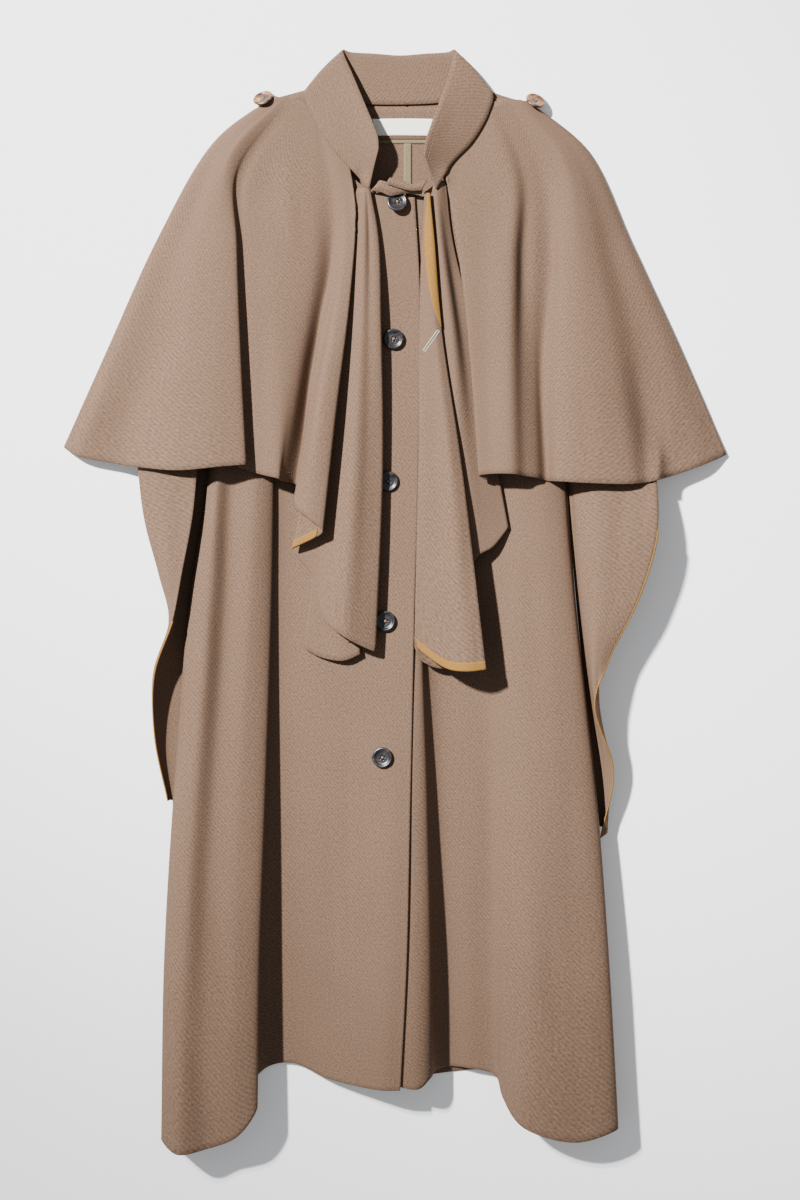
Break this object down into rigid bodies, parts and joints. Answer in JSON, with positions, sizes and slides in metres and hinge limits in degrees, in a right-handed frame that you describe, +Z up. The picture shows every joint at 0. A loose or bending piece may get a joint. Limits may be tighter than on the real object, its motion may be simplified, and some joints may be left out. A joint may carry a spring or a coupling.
{
  "type": "cape coat",
  "caption": "Long wool coat with a shoulder cape and ruffled cape fronts, buttoned down the front and laid out flat on its back.",
  "frame": {"origin": "middle of the laid-out coat's outline, on the ground that it lies on", "axes": "+X to the right of the picture, +Y toward the collar, +Z up from the ground"},
  "size_m": [0.7318, 1.2144, 0.056],
  "materials": {
    "wool": "soft brushed wool twill",
    "tape": "woven cotton tape",
    "binding": "matt satin binding",
    "label": "woven satin, blank",
    "horn": "polished dark horn"
  },
  "bodies": {
    "root": {"cape_back": "wool", "back_right": "wool", "back_left": "wool", "front_left": "wool", "front_right": "wool", "side_right": "wool", "side_left": "wool", "cape_right": "wool", "cape_left": "wool", "cascade_right_tail": "wool", "cascade_right": "wool", "cascade_left": "wool", "collar": "wool", "neck_tab": "wool", "neck_band": "wool", "back_facing": "wool", "facing_binding": "tape", "seam_binding": "tape", "label": "label", "cascade_left_binding": "binding", "cape_right_binding": "binding", "side_right_binding": "binding", "side_left_binding": "binding", "button_neck": "horn", "button_2": "horn", "button_3": "horn", "button_4": "horn", "button_5": "horn", "button_shoulder_right": "horn", "button_shoulder_left": "horn"}
  },
  "joints": []
}
